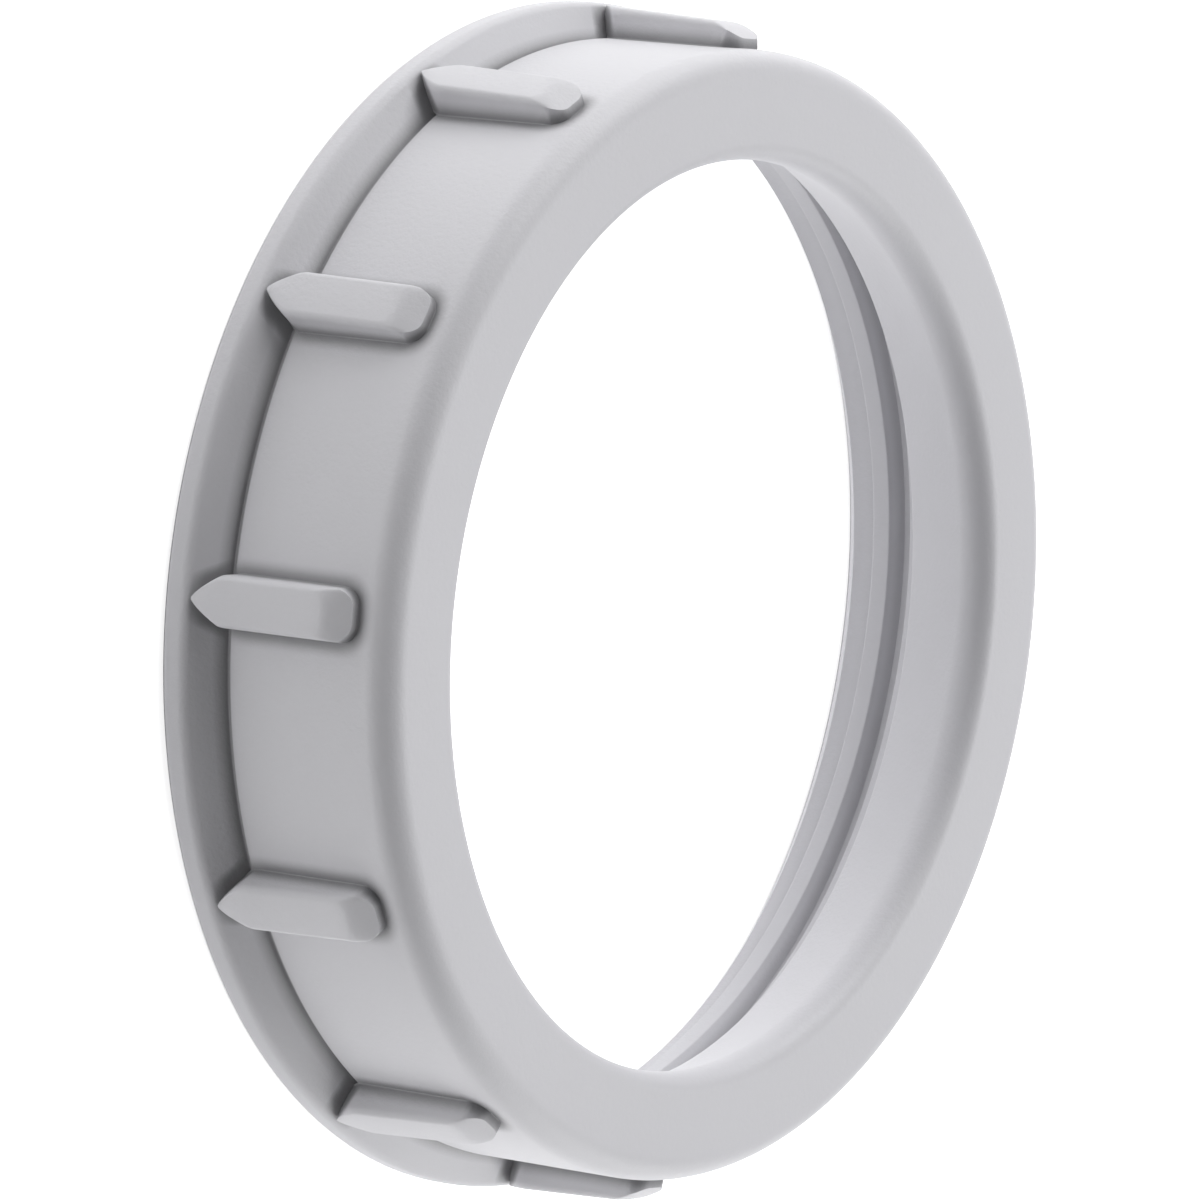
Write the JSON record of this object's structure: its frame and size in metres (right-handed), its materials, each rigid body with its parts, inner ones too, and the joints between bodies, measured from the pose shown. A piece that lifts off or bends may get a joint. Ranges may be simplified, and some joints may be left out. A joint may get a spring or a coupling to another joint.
{
  "type": "insulating bushing",
  "caption": "Round plastic insulating bushing with a rounded throat, a threaded bore, a flanged mouth and grip ribs; it screws on the end of a conduit and guards the wires.",
  "frame": {"origin": "centre of the flange's back face, the face that meets the box wall or locknut and the lowest plane of the part", "axes": "+Z along the ring's axis, from the mouth that takes the conduit to the throat face; one grip rib points along +X"},
  "size_m": [0.082, 0.082, 0.0172],
  "materials": {
    "plastic": "light grey moulded thermoplastic, satin with a faint moulded grain"
  },
  "bodies": {
    "root": {"bushing": "plastic"}
  },
  "joints": []
}
